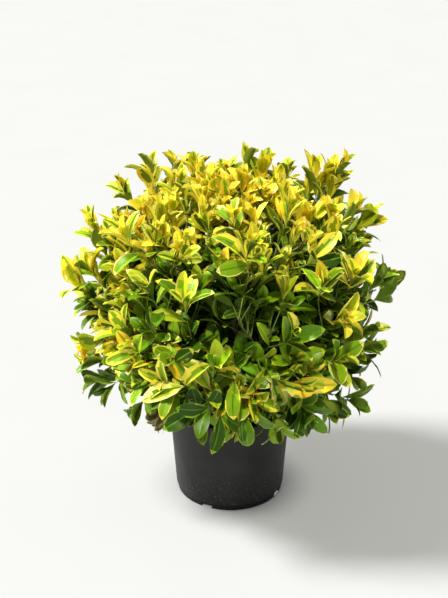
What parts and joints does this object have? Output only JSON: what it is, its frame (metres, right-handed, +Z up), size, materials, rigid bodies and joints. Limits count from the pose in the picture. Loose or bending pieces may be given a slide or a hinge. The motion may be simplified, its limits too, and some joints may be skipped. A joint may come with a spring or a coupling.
{
  "type": "potted evergreen shrub",
  "caption": "Round dense evergreen shrub with green and golden-yellow variegated leaves on a short forking stem, standing in a plain tapered round plastic nursery pot of compost.",
  "frame": {"origin": "middle of the flat underside of the pot", "axes": "+Z up along the pot's axis, -Y towards the shrub's front, +X to the right seen from the front"},
  "size_m": [0.7492, 0.6516, 0.7934],
  "materials": {
    "pot": "matte charcoal-black moulded plastic with a slight lip and a recessed foot",
    "compost": "dark moist potting compost of bark and peat crumbs",
    "bark": "grey-brown to olive-green bark with shallow ridges",
    "foliage": "glossy leathery leaves, green with irregular golden-yellow margins"
  },
  "bodies": {
    "root": {"pot": "pot", "compost": "compost", "trunk": "bark", "bough_crest": "bark", "bough_middle_1": "bark", "bough_middle_2": "bark", "bough_middle_3": "bark", "bough_middle_4": "bark", "bough_middle_5": "bark", "bough_middle_6": "bark", "bough_middle_7": "bark", "bough_skirt_1": "bark", "bough_skirt_2": "bark", "bough_skirt_3": "bark", "bough_skirt_4": "bark", "bough_skirt_5": "bark", "bough_skirt_6": "bark", "bough_skirt_7": "bark", "limb_upper_1": "bark", "limb_upper_2": "bark", "limb_upper_3": "bark", "limb_upper_4": "bark", "limb_upper_5": "bark", "foliage_crest": "foliage", "foliage_upper_1": "foliage", "foliage_upper_2": "foliage", "foliage_upper_3": "foliage", "foliage_upper_4": "foliage", "foliage_upper_5": "foliage", "foliage_middle_1": "foliage", "foliage_middle_2": "foliage", "foliage_middle_3": "foliage", "foliage_middle_4": "foliage", "foliage_middle_5": "foliage", "foliage_middle_6": "foliage", "foliage_middle_7": "foliage", "foliage_skirt_1": "foliage", "foliage_skirt_2": "foliage", "foliage_skirt_3": "foliage", "foliage_skirt_4": "foliage", "foliage_skirt_5": "foliage", "foliage_skirt_6": "foliage", "foliage_skirt_7": "foliage"}
  },
  "joints": []
}
